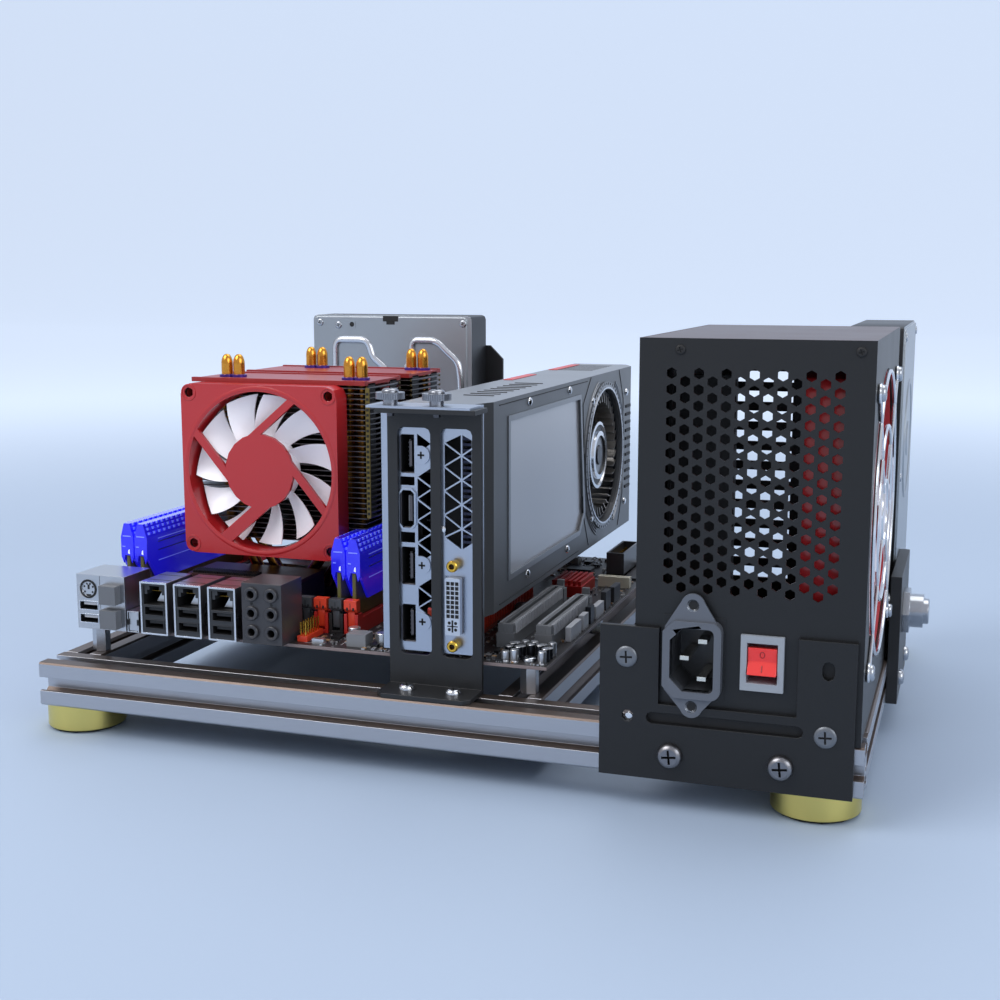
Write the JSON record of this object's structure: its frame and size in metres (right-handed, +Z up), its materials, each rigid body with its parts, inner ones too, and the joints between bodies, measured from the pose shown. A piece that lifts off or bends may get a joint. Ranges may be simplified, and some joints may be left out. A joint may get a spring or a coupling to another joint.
{
  "type": "open-frame desktop computer",
  "caption": "Open-frame computer: slotted rails on round feet carry a bare board, twin-tower cooler with fans, a card in an upright holder, a power supply and drives",
  "frame": {"origin": "middle of the base, where the feet stand", "axes": "+X to the right along the front rail, +Y to the back, +Z up; the sockets and the power inlet face -Y"},
  "size_m": [0.386, 0.2896, 0.183],
  "materials": {
    "rail_aluminium": "satin anodised, extruded lengthwise",
    "connector_steel": "zinc plated",
    "foot_brass": "turned, satin",
    "pad_rubber": "matt",
    "board": "solder mask, semi-matt",
    "standoff_brass": "plain turned",
    "port_metal": "bright nickel plated",
    "port_plastic": "moulded",
    "socket_plastic": "moulded, every other one red",
    "latch_plastic": "moulded, pale",
    "module_board": "solder mask",
    "spreader_blue": "blue anodised",
    "processor_metal": "nickel plated",
    "sink_dark": "black anodised",
    "sink_red": "red anodised",
    "cooler_metal": "machined",
    "pipe_copper": "polished, lightly plated",
    "fin_aluminium": "mill finish",
    "fan_red": "moulded",
    "blade_lilac": "moulded, slightly milky",
    "holder_black": "fine powder coat",
    "bracket_steel": "nickel plated",
    "card_board_black": "solder mask",
    "card_fins": "mill finish",
    "shroud_plastic": "moulded, fine grain",
    "blower_black": "moulded",
    "psu_paint": "fine powder coat",
    "psu_inside": "circuit board and coated parts",
    "guard_wire": "plated wire",
    "inlet_plastic": "moulded",
    "switch_plastic": "moulded",
    "rocker_red": "moulded, with plain on and off strokes",
    "blade_brass": "plated",
    "plate_paint": "fine powder coat",
    "drive_metal": "cast and machined",
    "drive_bracket_paint": "fine powder coat",
    "button_steel": "turned",
    "thumb_steel": "black oxide, knurled"
  },
  "bodies": {
    "frame": {"front_rail": "rail_aluminium", "rear_rail": "rail_aluminium", "left_rail": "rail_aluminium", "middle_rail": "rail_aluminium", "right_rail": "rail_aluminium", "corner_connectors": "connector_steel", "brass_feet": "foot_brass", "foot_pads": "pad_rubber", "motherboard": "board", "board_standoffs": "standoff_brass", "port_shells": "port_metal", "port_inserts": "port_plastic", "memory_sockets": "socket_plastic", "memory_boards": "module_board", "memory_spreaders": "spreader_blue", "processor_socket": "processor_metal", "port_heatsink": "sink_dark", "chipset_heatsink": "sink_red", "expansion_sockets": "socket_plastic", "board_components": "socket_plastic", "cooler_base": "cooler_metal", "heat_pipes": "pipe_copper", "cooler_fins": "fin_aluminium", "fan_frames": "fan_red", "card_holder": "holder_black", "card_bracket": "bracket_steel", "card_ports": "bracket_steel", "card_board": "card_board_black", "card_heatsink": "card_fins", "card_shroud": "shroud_plastic", "psu_case": "psu_paint", "psu_cover": "psu_paint", "psu_electronics": "psu_inside", "psu_fan_frame": "fan_red", "psu_guard": "guard_wire", "psu_inlet": "inlet_plastic", "inlet_blades": "blade_brass", "psu_switch": "switch_plastic", "psu_plate": "plate_paint", "hard_drives": "drive_metal", "drive_brackets": "drive_bracket_paint", "button_bracket": "holder_black", "button_body": "button_steel", "thumb_screws": "thumb_steel"},
    "back_rotor_body": {"back_rotor": "blade_lilac"},
    "button_cap_body": {"button_cap": "button_steel"},
    "card_blower_body": {"card_blower": "blower_black"},
    "front_rotor_body": {"front_rotor": "blade_lilac"},
    "memory_latch_1_body": {"memory_latch_1": "latch_plastic"},
    "memory_latch_2_body": {"memory_latch_2": "latch_plastic"},
    "memory_latch_3_body": {"memory_latch_3": "latch_plastic"},
    "memory_latch_4_body": {"memory_latch_4": "latch_plastic"},
    "memory_latch_5_body": {"memory_latch_5": "latch_plastic"},
    "memory_latch_6_body": {"memory_latch_6": "latch_plastic"},
    "memory_latch_7_body": {"memory_latch_7": "latch_plastic"},
    "memory_latch_8_body": {"memory_latch_8": "latch_plastic"},
    "middle_rotor_body": {"middle_rotor": "blade_lilac"},
    "psu_fan_rotor_body": {"psu_fan_rotor": "blade_lilac"},
    "psu_rocker_body": {"psu_rocker": "rocker_red"}
  },
  "joints": [
    {"name": "front_rotor_spin", "type": "hinge", "parent": "frame", "child": "front_rotor_body", "pos_m": [-0.1036, -0.07794, 0.116], "axis": [0, 1, 0], "continuous": true},
    {"name": "middle_rotor_spin", "type": "hinge", "parent": "frame", "child": "middle_rotor_body", "pos_m": [-0.1036, -0.02494, 0.116], "axis": [0, 1, 0], "continuous": true},
    {"name": "back_rotor_spin", "type": "hinge", "parent": "frame", "child": "back_rotor_body", "pos_m": [-0.1036, 0.02806, 0.116], "axis": [0, 1, 0], "continuous": true},
    {"name": "card_blower_spin", "type": "hinge", "parent": "frame", "child": "card_blower_body", "pos_m": [0.009, 0.07356, 0.1097], "axis": [1, 0, 0], "continuous": true},
    {"name": "psu_fan_spin", "type": "hinge", "parent": "frame", "child": "psu_fan_rotor_body", "pos_m": [0.1615, -0.07644, 0.111], "axis": [1, 0, 0], "continuous": true},
    {"name": "rocker_tilt", "type": "hinge", "parent": "frame", "child": "psu_rocker_body", "pos_m": [0.13805, -0.13894, 0.0622], "axis": [1, 0, 0], "range_deg": [0, 20]},
    {"name": "button_press", "type": "slide", "parent": "frame", "child": "button_cap_body", "axis": [-1, 0, 0], "range_m": [0, 0.002], "stiffness_N_per_m": 400, "springref_m": -0.0005},
    {"name": "latch_1_turn", "type": "hinge", "parent": "frame", "child": "memory_latch_1_body", "pos_m": [-0.073, -0.09724, 0.0505], "axis": [1, 0, 0], "range_deg": [0, 30]},
    {"name": "latch_2_turn", "type": "hinge", "parent": "frame", "child": "memory_latch_2_body", "pos_m": [-0.0656, -0.09724, 0.0505], "axis": [1, 0, 0], "range_deg": [0, 30]},
    {"name": "latch_3_turn", "type": "hinge", "parent": "frame", "child": "memory_latch_3_body", "pos_m": [-0.0582, -0.09724, 0.0505], "axis": [1, 0, 0], "range_deg": [0, 30]},
    {"name": "latch_4_turn", "type": "hinge", "parent": "frame", "child": "memory_latch_4_body", "pos_m": [-0.0508, -0.09724, 0.0505], "axis": [1, 0, 0], "range_deg": [0, 30]},
    {"name": "latch_5_turn", "type": "hinge", "parent": "frame", "child": "memory_latch_5_body", "pos_m": [-0.1697, -0.09424, 0.0505], "axis": [1, 0, 0], "range_deg": [0, 30]},
    {"name": "latch_6_turn", "type": "hinge", "parent": "frame", "child": "memory_latch_6_body", "pos_m": [-0.1623, -0.09424, 0.0505], "axis": [1, 0, 0], "range_deg": [0, 30]},
    {"name": "latch_7_turn", "type": "hinge", "parent": "frame", "child": "memory_latch_7_body", "pos_m": [-0.1549, -0.09424, 0.0505], "axis": [1, 0, 0], "range_deg": [0, 30]},
    {"name": "latch_8_turn", "type": "hinge", "parent": "frame", "child": "memory_latch_8_body", "pos_m": [-0.1475, -0.09424, 0.0505], "axis": [1, 0, 0], "range_deg": [0, 30]}
  ]
}
